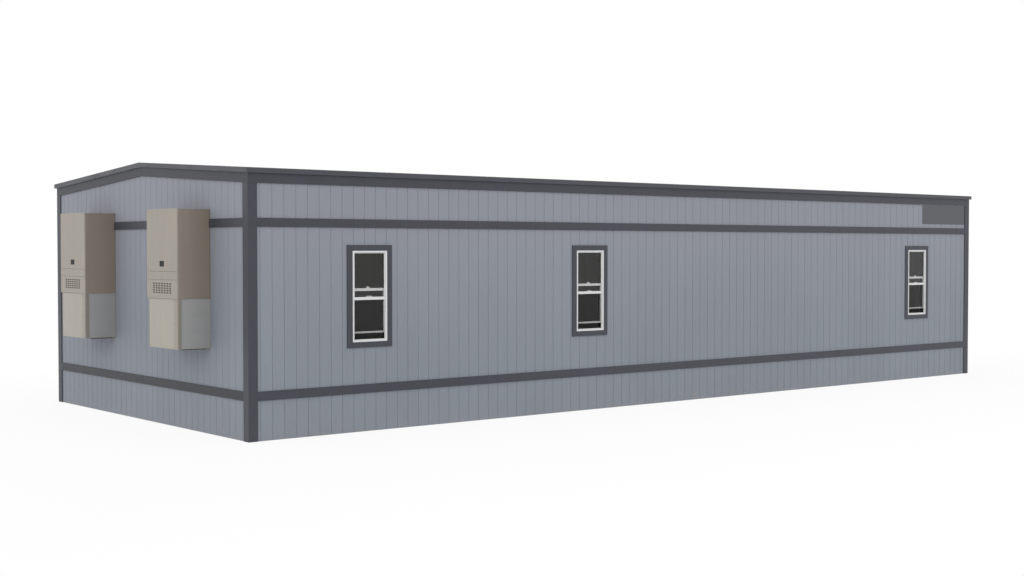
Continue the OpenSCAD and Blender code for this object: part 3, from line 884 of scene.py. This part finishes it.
# %% [markdown]
# ## Window casings
# Each window has four flat boards round it: two uprights that run the full height, and a head and a sill
# board between them. The window frame's own box is the hole that they leave.

# %% Casing boards
CASING_EASE = 0.0025


def same_opening(outer, boxes):
    low, high = outer
    return [box for box in boxes if low.x < (box[0].x + box[1].x) / 2 < high.x and box[0].y * low.y > 0]


def span_box(*spans):
    return Vector([min(span) for span in spans]), Vector([max(span) for span in spans])


def ring_boards(outer, inner):
    low, high = outer
    hole_low, hole_high = inner
    ys = (low.y, high.y)
    zs = (low.z, high.z)
    hole_xs = (hole_low.x, hole_high.x)
    return [span_box((low.x, hole_low.x), ys, zs), span_box((hole_high.x, high.x), ys, zs),
            span_box(hole_xs, ys, (low.z, hole_low.z)), span_box(hole_xs, ys, (hole_high.z, high.z))]


casing_boxes = solid_boxes("window_casings")
jamb_boxes = solid_boxes("window_jambs")
frame_boxes = []
casing_rings = []
for casing_box in casing_boxes:
    frame_box = box_of([corner for jamb in same_opening(casing_box, jamb_boxes) for corner in jamb])
    frame_boxes.append(frame_box)
    casing_rings += ring_boards(casing_box, frame_box)
board_piece(casing_rings, CASING_EASE, "casing_boards", "trim", ("window_casings",))

# %% [markdown]
# ## Window frames
# A single-hung window is an outer frame with two sashes. The frame is four extrusions with rounded edges, and
# a thin stop runs round the inside to hold the upper sash and the screen. The sill slopes outwards, so it is
# an eased copy.

# %% Outer frames and stops
FRAME_EASE = 0.002
STOP_WIDTH = 0.005
STOP_DEPTH = 0.007
STOP_EASE = 0.0012
WEEP_SIZE = Vector((0.034, 0.004, 0.008))
WEEP_INSET = 0.12


def centred(middle, size):
    return middle - size / 2, middle + size / 2


def shrunk(box, x, z):
    inset = Vector((x, 0.0, z))
    return box[0] + inset, box[1] - inset


def outer_y(box, side):
    return box[1].y if side > 0 else box[0].y


def at_depth(box, *ys):
    low, high = box
    return span_box((low.x, high.x), ys, (low.z, high.z))


def side_of(box):
    return math.copysign(1.0, box[0].y)


upper_sash_boxes = solid_boxes("upper_sashes")
sill_boxes = solid_boxes("window_sills")
frames = bmesh.new()
add_boards(frames, jamb_boxes + solid_boxes("window_heads"), FRAME_EASE)
for casing_box, frame_box in zip(casing_boxes, frame_boxes):
    sash = same_opening(casing_box, upper_sash_boxes)[0]
    sill_low, sill_high = same_opening(casing_box, sill_boxes)[0]
    side = side_of(sash)
    sash_face = outer_y(sash, side)
    stop_ys = (sash_face, sash_face + side * STOP_DEPTH)
    stop = span_box((sash[0].x, sash[1].x), stop_ys, (sill_high.z, sash[1].z))
    add_boards(frames, ring_boards(stop, shrunk(stop, STOP_WIDTH, STOP_WIDTH)), STOP_EASE)
    for weep_x in spaced(sill_low.x, sill_high.x, WEEP_INSET):
        middle = Vector((weep_x, outer_y(frame_box, side), sill_low.z + WEEP_SIZE.z))
        add_boards(frames, [centred(middle, WEEP_SIZE)], STOP_EASE)
# The outer frames take the copy with painted shade in the tracks.
make_piece(frames, "window_frames", "window_frame", ("window_jambs", "window_heads"), "frame_shaded_tracks")
make_piece(eased_copy("window_sills", STOP_EASE), "sloped_sills", "window_frame", ("window_sills",))

# %% [markdown]
# ## Sashes and beads
# The stiles and rails of a sash are as wide as the frame round its pane, so the pane's box gives all four
# widths. The sliding sash's stiles are a little wider. A small bead presses each pane into its sash.

# %% Sash members
SASH_EASE = 0.0018
BEAD_WIDTH = 0.002
BEAD_EASE = 0.0006
SLIDING_EXTRA = 0.006

pane_boxes = solid_boxes("window_panes")
sashes = bmesh.new()
for sash_node in ("upper_sashes", "lower_sashes"):
    for sash_box in solid_boxes(sash_node):
        panes = same_opening(sash_box, pane_boxes)
        pane = min(panes, key=lambda box: abs((box[0].z + box[1].z) - (sash_box[0].z + sash_box[1].z)))
        if sash_node == "lower_sashes":
            pane = shrunk(pane, SLIDING_EXTRA, 0.0)
        add_boards(sashes, ring_boards(sash_box, pane), SASH_EASE)
        side = side_of(sash_box)
        bead = at_depth(pane, outer_y(pane, side), outer_y(sash_box, side) - side * BEAD_EASE)
        add_boards(sashes, ring_boards(bead, shrunk(bead, BEAD_WIDTH, BEAD_WIDTH)), BEAD_EASE)
make_piece(sashes, "sash_members", "window_frame", ("upper_sashes", "lower_sashes"))

# %% [markdown]
# ## Sash locks and keepers
# A cam lock sits on the raised sash: a base plate, a tapered housing and a lever that swings over. Its keeper
# on the upper sash's rail is a low ramp. Each starts as a board, and drawing in its top before the bevel
# gives the taper.

# %% Cam locks and keepers
LOCK_BASE = 0.008
LOCK_SHIFT = 0.014
LEVER_REACH = 0.024
LEVER_RISE = 0.006
KEEPER_RISE = 0.019
KEEPER_SPREAD = 0.03
KEEPER_SHARE = 0.6
RAMP_DRAW = 0.5
RAMP_EASE = 0.0015


def add_ramp(box):
    middle = (box[0] + box[1]) / 2
    verts = add_block(locks, box)
    top = [vert for vert in verts if vert.co.z > middle.z]
    bmesh.ops.scale(locks, vec=(RAMP_DRAW, 1.0, 1.0), verts=top, space=Matrix.Translation(-middle))
    ease_edges(locks, edges_of(verts), RAMP_EASE)


lock_boxes = solid_boxes("sash_locks")
lock_rise = max(high.z - low.z for low, high in lock_boxes)
locks = bmesh.new()
for low, high in lock_boxes:
    ys = (low.y, high.y)
    if high.z - low.z < lock_rise * KEEPER_SHARE:
        keeper_xs = (low.x - KEEPER_SPREAD, high.x + KEEPER_SPREAD)
        add_ramp(span_box(keeper_xs, ys, (low.z, low.z + KEEPER_RISE)))
        continue
    side = side_of((low, high))
    base_xs = (low.x + side * LOCK_SHIFT, high.x + side * LOCK_SHIFT)
    base_z = low.z + LOCK_BASE
    add_boards(locks, [span_box(base_xs, ys, (low.z, base_z))], RAMP_EASE)
    add_ramp(span_box(spaced(*base_xs, LOCK_BASE), ys, (base_z, high.z - LEVER_RISE / 2)))
    middle_x = sum(base_xs) / 2
    lever_xs = (middle_x - side * LEVER_REACH / 2, middle_x + side * LEVER_REACH)
    lever = span_box(lever_xs, spaced(*ys, RAMP_EASE), centred(high.z, LEVER_RISE))
    add_boards(locks, [lever], RAMP_EASE)
make_piece(locks, "sash_cam_locks", "window_frame", ("sash_locks",))

# %% [markdown]
# ## Half screens
# Below the upper sash each window has a half screen: a thin white bar frame with dark woven cloth and two
# small spring pins that hold it in the track. The cloth is a thin closed sheet.

# %% Screen bars and cloth
SCREEN_BAR = 0.014
CLOTH_THICK = 0.0012
CLOTH_EASE = 0.0003
PIN_RADIUS = 0.006
PIN_HEIGHT = 0.004
PIN_INSET = 0.09

bars = bmesh.new()
cloths = []
for screen in solid_boxes("window_screens"):
    low, high = screen
    side = side_of(screen)
    add_boards(bars, ring_boards(screen, shrunk(screen, SCREEN_BAR, SCREEN_BAR)), SASH_EASE)
    cloth = shrunk(screen, SCREEN_BAR / 2, SCREEN_BAR / 2)
    cloths.append(at_depth(cloth, *centred((low.y + high.y) / 2, CLOTH_THICK)))
    pin_y = outer_y(screen, side)
    pins = [Vector((x, pin_y, low.z + SCREEN_BAR / 2)) for x in spaced(low.x, high.x, PIN_INSET)]
    add_studs(bars, pins, Vector((0.0, side, 0.0)), PIN_RADIUS, PIN_HEIGHT, NAIL_SIDES)
make_piece(bars, "screen_bars", "window_frame", ("window_screens",))
board_piece(cloths, CLOTH_EASE, "screen_cloth", "insect_screen")

# %% [markdown]
# ## Wall unit housings and panels
# A wall unit is a folded housing with separate front panels. Folded sheet turns its corners on a small
# radius, so the housing is an eased copy of its solid, and each flat panel is a board with rolled edges.

# %% Housings and panels
FOLD_RADIUS = 0.0015
PANEL_ROLL = 0.0018
BRACKET_EASE = 0.001

make_piece(eased_copy("unit_cabinets", FOLD_RADIUS), "unit_housings", "unit_cabinet", ("unit_cabinets",))
panel_slots = {"unit_upper_panels": "unit_front", "unit_access_panels": "unit_front",
               "unit_lower_panels": "unit_lower", "unit_top_caps": "unit_cabinet"}
for node_name, slot_name in panel_slots.items():
    board_piece(solid_boxes(node_name), PANEL_ROLL, "rolled_" + node_name, slot_name, (node_name,))
make_piece(eased_copy("unit_brackets", BRACKET_EASE), "bracket_arms", "steel", ("unit_brackets",))

# %% [markdown]
# ## Slotted vent panels
# The vent panel is a shallow tray of thin sheet, and the solid has it as a thick plate. Pulling the slots'
# back edges forward leaves a sheet a few millimetres thick with a hollow behind it. Punched slots are rounded
# inwards, which opens them a little, so each slot's loop of walls is also scaled about its own middle.

# %% Vent trays
VENT_SHEET = 0.003
ON_FACE = 0.0005
SLOT_OPEN = (1.0, 1.36, 1.3)
END_ON = 0.5

vent_boxes = solid_boxes("unit_vent_panels")
vents = merged_copy("unit_vent_panels")
slot_verts = {}
for vert in vents.verts:
    low, high = next(box for box in vent_boxes if box[0].y - ON_FACE < vert.co.y < box[1].y + ON_FACE)
    on_side = min(vert.co.y - low.y, high.y - vert.co.y) < ON_FACE
    on_end = min(vert.co.z - low.z, high.z - vert.co.z) < ON_FACE
    if not (on_side or on_end):
        slot_verts[vert] = low.x + VENT_SHEET if vert.co.x > high.x - ON_FACE else low.x
slot_walls = [face for face in vents.faces
              if abs(face.normal.x) < END_ON and all(vert in slot_verts for vert in face.verts)]
slots = islands(slot_walls, lambda face: [other for edge in face.edges for other in edge.link_faces])
for walls in slots:
    loop = list(dict.fromkeys(vert for face in walls for vert in face.verts))
    low, high = box_of([vert.co for vert in loop])
    bmesh.ops.scale(vents, vec=SLOT_OPEN, verts=loop, space=Matrix.Translation(-(low + high) / 2))
for vert, x in slot_verts.items():
    vert.co.x = x
print("vent slots", len(slots))
make_piece(vents, "vent_trays", "unit_front", ("unit_vent_panels",))

# %% [markdown]
# ## Screws, badge plates and vent backs
# Hex-headed screws with washers hold the panels, along both upright edges. The badge is a bare dark plate. A
# dark plate lies against the back of the vent's slots as painted shade, so no light gets past them into the
# hollow of the tray.

# %% Small metal of the wall units
WASHER_RADIUS = 0.009
WASHER_HEIGHT = 0.0015
SCREW_RADIUS = 0.0055
SCREW_HEIGHT = 0.005
SCREW_INSET = 0.03
SCREW_PITCH = 0.4
WASHER_SIDES = 12
HEX_SIDES = 6
BADGE_SIZE = Vector((0.003, 0.148, 0.084))
BADGE_LEVEL = 2.608
BADGE_EASE = 0.0012
VENT_BACK = 0.002
MESH_EASE = 0.00025

out_left = Vector((-1.0, 0.0, 0.0))
screws = bmesh.new()
for node_name in ("unit_upper_panels", "unit_access_panels", "unit_vent_panels", "unit_lower_panels"):
    for low, high in solid_boxes(node_name):
        count = max(1, round((high.z - low.z - 2 * SCREW_INSET) / SCREW_PITCH))
        levels = spaced(low.z, high.z, SCREW_INSET, count)
        places = [Vector((low.x, y, z)) for y in spaced(low.y, high.y, SCREW_INSET) for z in levels]
        add_studs(screws, places, out_left, WASHER_RADIUS, WASHER_HEIGHT, WASHER_SIDES)
        add_studs(screws, places, out_left, SCREW_RADIUS, SCREW_HEIGHT, HEX_SIDES)
make_piece(screws, "panel_screws", "unit_front")
badges = []
for low, high in solid_boxes("unit_upper_panels"):
    badges.append(centred(Vector((low.x - BADGE_SIZE.x / 2, (low.y + high.y) / 2, BADGE_LEVEL)), BADGE_SIZE))
board_piece(badges, BADGE_EASE, "bare_badges", "steel", finish="badge_plate")
# Painted shade: a dark plate behind the slots stands for the shade inside the unit.
vent_shade_backs = []
for low, high in vent_boxes:
    sheet_back = low.x + VENT_SHEET
    vent_shade_backs.append(span_box((sheet_back, sheet_back + VENT_BACK), spaced(low.y, high.y, SCREW_INSET),
                               spaced(low.z, high.z, SCREW_INSET)))
board_piece(vent_shade_backs, MESH_EASE, "vent_shade_backs", "steel", finish="vent_shade_plate")

# %% [markdown]
# ## Sealant against the wall
# Where a unit's upper housing meets the grooved wall, a bead of dark sealant keeps the rain out. It runs up
# both sides and over the top. Its dark tone is also painted shade: the thin shadow line behind each unit.

# %% Sealant beads
SEAL_WIDTH = 0.007
SEAL_DEPTH = 0.01
SEAL_EASE = 0.0035

cabinet_boxes = solid_boxes("unit_cabinets")
cap_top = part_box("unit_top_caps")[1].z
beads = []
for low, high in cabinet_boxes:
    xs = (high.x - SEAL_DEPTH, high.x)
    for y in (low.y - SEAL_WIDTH, high.y):
        beads.append(span_box(xs, (y, y + SEAL_WIDTH), (split_level, cap_top)))
    beads.append(span_box(xs, (low.y - SEAL_WIDTH, high.y + SEAL_WIDTH), (cap_top, cap_top + SEAL_WIDTH)))
# The bead's dark tone is partly sealant and partly painted shade of the junction with the wall.
board_piece(beads, SEAL_EASE, "sealant_beads", "unit_cabinet", finish="sealant_and_shade")

# %% [markdown]
# ## Side grilles
# Air goes in through the recessed sides of the lower section. Close up the grey panel is a guard: a flat
# border, closely spaced upright fins and two tie bars over a dull backing.

# %% Fins and tie bars
GUARD_BORDER = 0.008
FIN_PITCH = 0.0105
FIN_THICK = 0.003
FIN_RISE = 0.005
FIN_DEPTH = 0.004
TIE_HEIGHT = 0.006
TIE_LEVELS = (0.34, 0.67)
FIN_EASE = 0.0006
BORDER_EASE = 0.0012

guards = bmesh.new()
for guard in solid_boxes("unit_side_grilles"):
    low, high = guard
    cabinet = min(cabinet_boxes, key=lambda box: abs(box[0].y + box[1].y - low.y - high.y))
    side = math.copysign(1.0, low.y + high.y - cabinet[0].y - cabinet[1].y)
    inner = shrunk(guard, GUARD_BORDER, GUARD_BORDER)
    add_boards(guards, ring_boards(guard, inner), BORDER_EASE)
    back = outer_y(guard, -side)
    fin_back = back + side * (high.y - low.y - FIN_RISE)
    boards = [at_depth(inner, back, fin_back)]
    span = inner[1] - inner[0]
    count = int(span.x / FIN_PITCH)
    fin_ys = (fin_back, fin_back + side * FIN_DEPTH)
    for k in range(count):
        fin_xs = centred(inner[0].x + (k + 0.5) * span.x / count, FIN_THICK)
        boards.append(span_box(fin_xs, fin_ys, (inner[0].z, inner[1].z)))
    tie_ys = (fin_back, fin_back + side * FIN_RISE)
    for share in TIE_LEVELS:
        tie_zs = centred(inner[0].z + share * span.z, TIE_HEIGHT)
        boards.append(span_box((inner[0].x, inner[1].x), tie_ys, tie_zs))
    add_boards(guards, boards, FIN_EASE)
make_piece(guards, "finned_guards", "unit_grille", ("unit_side_grilles",))

# %% [markdown]
# ## Roof sheets and edge joints
# The covering comes in rolls, so a welded lap crosses each slope every ten feet. The metal edge comes in the
# same lengths, and a thin cover plate hides each of its joints. What lies on a slope is a board with its
# matrix turned.

# %% Laps and cover plates
ROOF_PITCH = 0.065
LAP_HEIGHT = 0.0025
LAP_EASE = 0.0008
COVER_WIDTH = 0.1
COVER_THICK = 0.0012
COVER_EASE = 0.0003
HEM_EASE = 0.001

slope = math.atan(ROOF_PITCH)


def lay_on_slope(side):
    return Matrix.Rotation(-side * slope, 4, "X")


sheet_low, sheet_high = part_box("front_roof")
flange = solid_boxes("eave_edge_trim")[0]
sheet_edge = abs(flange[1].y)
cap_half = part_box("ridge_cap")[1].y
lap_count = int((sheet_high.x - sheet_low.x) / ROLL_LENGTH)
lap_xs = [(k - (lap_count - 1) / 2) * ROLL_LENGTH for k in range(lap_count)]
lap_size = Vector((LAP_WIDTH, (sheet_edge - cap_half) / math.cos(slope), LAP_HEIGHT))
lap_y = (sheet_edge + cap_half) / 2
lap_z = sheet_high.z - ROOF_PITCH * lap_y + LAP_HEIGHT / 2
laps = bmesh.new()
for side in (-1.0, 1.0):
    strips = [centred(Vector((x, side * lap_y, lap_z)), lap_size) for x in lap_xs]
    add_boards(laps, strips, LAP_EASE, lay_on_slope(side))
make_piece(laps, "welded_laps", "roof")

edge_low, edge_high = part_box("eave_edge_trim")
rake_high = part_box("rake_edge_trim")[1]
face_height = flange[1].z - flange[0].z - ROOF_PITCH * (flange[1].y - flange[0].y)
eave_size = Vector((COVER_WIDTH, COVER_THICK, face_height))
rake_size = Vector((COVER_THICK, COVER_WIDTH, face_height))
rake_z = rake_high.z - ROOF_PITCH * rake_high.y / 2 - face_height / 2
plates = bmesh.new()
for side in (-1.0, 1.0):
    for x in lap_xs:
        middle = Vector((x, side * (edge_high.y + COVER_THICK / 2), edge_low.z + face_height / 2))
        add_boards(plates, [centred(middle, eave_size)], COVER_EASE)
    for end in (-1.0, 1.0):
        middle = Vector((end * (rake_high.x + COVER_THICK / 2), side * rake_high.y / 2, rake_z))
        add_boards(plates, [centred(middle, rake_size)], COVER_EASE, lay_on_slope(side))
make_piece(plates, "edge_cover_plates", "roof_edge")
for node_name in ("eave_edge_trim", "rake_edge_trim", "ridge_cap"):
    make_piece(eased_copy(node_name, HEM_EASE), "folded_" + node_name, "roof_edge", (node_name,))

# %% [markdown]
# ## The door
# The door is on the side away from the road. It is a flush steel leaf in a folded frame, with three barrel
# hinges on one edge and a lever handle on the other. The barrels and the rose are cones with eased rims.

# %% Leaf, frame and hinges
LEAF_EASE = 0.003
HINGE_RADIUS = 0.008
HINGE_LENGTH = 0.1
HINGE_SHARES = (0.1, 0.5, 0.9)
HINGE_PLATE = Vector((0.032, 0.003, 0.1))
RIM_EASE = 0.002
HINGE_EASE = RIM_EASE / 3
DOOR_FOLD = 0.002
BARREL_SIDES = 24
QUAD = 4


def add_barrel(mesh, middle, turn, radius, length, sides=BARREL_SIDES):
    verts = add_cone(mesh, Matrix.Translation(middle) @ turn, radius, radius, length, sides)
    rims = [edge for edge in edges_of(verts) if any(len(face.verts) > QUAD for face in edge.link_faces)]
    ease_edges(mesh, rims, RIM_EASE)


leaf_low, leaf_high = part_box("door_leaf")
board_piece([(leaf_low, leaf_high)], LEAF_EASE, "flush_leaf", "door", ("door_leaf",))
for node_name, slot_name in (("door_casing", "trim"), ("door_frame", "window_frame"),
                             ("door_threshold", "door_metal")):
    make_piece(eased_copy(node_name, DOOR_FOLD), "eased_" + node_name, slot_name, (node_name,))

handle_low, handle_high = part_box("door_handle")
from_hinge = math.copysign(1.0, handle_low.x + handle_high.x - leaf_low.x - leaf_high.x)
hinge_x = min(leaf_low.x, leaf_high.x, key=lambda x: x * from_hinge)
hinges = bmesh.new()
for share in HINGE_SHARES:
    z = leaf_low.z + share * (leaf_high.z - leaf_low.z)
    barrel = Vector((hinge_x, leaf_high.y + HINGE_RADIUS / 2, z))
    add_barrel(hinges, barrel, Matrix.Identity(4), HINGE_RADIUS, HINGE_LENGTH)
    plate_middle = Vector((hinge_x + from_hinge * HINGE_PLATE.x / 2, leaf_high.y, z))
    add_boards(hinges, [centred(plate_middle, HINGE_PLATE)], HINGE_EASE)
make_piece(hinges, "door_hinges", "door_metal")

# %% Lever handle
ROSE_RADIUS = 0.033
ROSE_DEPTH = 0.01
NECK_RADIUS = 0.01
LEVER_THICK = 0.016
LEVER_EASE = 0.006
ROSE_SIDES = 48

lay_out = Matrix.Rotation(math.radians(90.0), 4, "X")
handle_z = (handle_low.z + handle_high.z) / 2
grip_x, rose_end = sorted((handle_low.x, handle_high.x), key=lambda x: x * from_hinge)
rose_x = rose_end - from_hinge * ROSE_RADIUS
handle = bmesh.new()
rose_middle = Vector((rose_x, handle_low.y + ROSE_DEPTH / 2, handle_z))
add_barrel(handle, rose_middle, lay_out, ROSE_RADIUS, ROSE_DEPTH, ROSE_SIDES)
neck_middle = Vector((rose_x, (handle_low.y + handle_high.y) / 2, handle_z))
add_barrel(handle, neck_middle, lay_out, NECK_RADIUS, handle_high.y - handle_low.y)
lever_xs = (rose_x + from_hinge * NECK_RADIUS, grip_x)
lever_ys = (handle_high.y - LEVER_THICK, handle_high.y)
add_boards(handle, [span_box(lever_xs, lever_ys, centred(handle_z, 2 * NECK_RADIUS))], LEVER_EASE)
make_piece(handle, "lever_handle", "door_metal", ("door_handle",))

# %% [markdown]
# ## The bare sign plate
# High on the front, by the far corner, a dark plate is screwed to the cladding under the eaves. It carries no
# words here. It is one eased board with a screw in each corner and two more along each long edge.

# %% Sign plate
SIGN_LEFT = 7.42
SIGN_CLEAR = 0.002
SIGN_Z = (3.377, 3.789)
SIGN_THICK = 0.006
SIGN_EASE = 0.0015
SIGN_SCREW_GAPS = 3
SIGN_SCREW_HEIGHT = SCREW_HEIGHT / 3

front_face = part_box("upper_siding")[0].y
sign_xs = (SIGN_LEFT, corner_high.x - corner_w - SIGN_CLEAR)
sign = span_box(sign_xs, (front_face - SIGN_THICK, front_face), SIGN_Z)
board_piece([sign], SIGN_EASE, "bare_sign_plate", "trim", finish="sign_plate")
screw_zs = spaced(*SIGN_Z, SCREW_INSET)
places = [Vector((x, sign[0].y, z)) for x in spaced(*sign_xs, SCREW_INSET, SIGN_SCREW_GAPS) for z in screw_zs]
sign_screws = bmesh.new()
add_studs(sign_screws, places, Vector((0.0, -1.0, 0.0)), SCREW_RADIUS, SIGN_SCREW_HEIGHT, WASHER_SIDES)
make_piece(sign_screws, "sign_screws", "trim", finish="sign_plate")
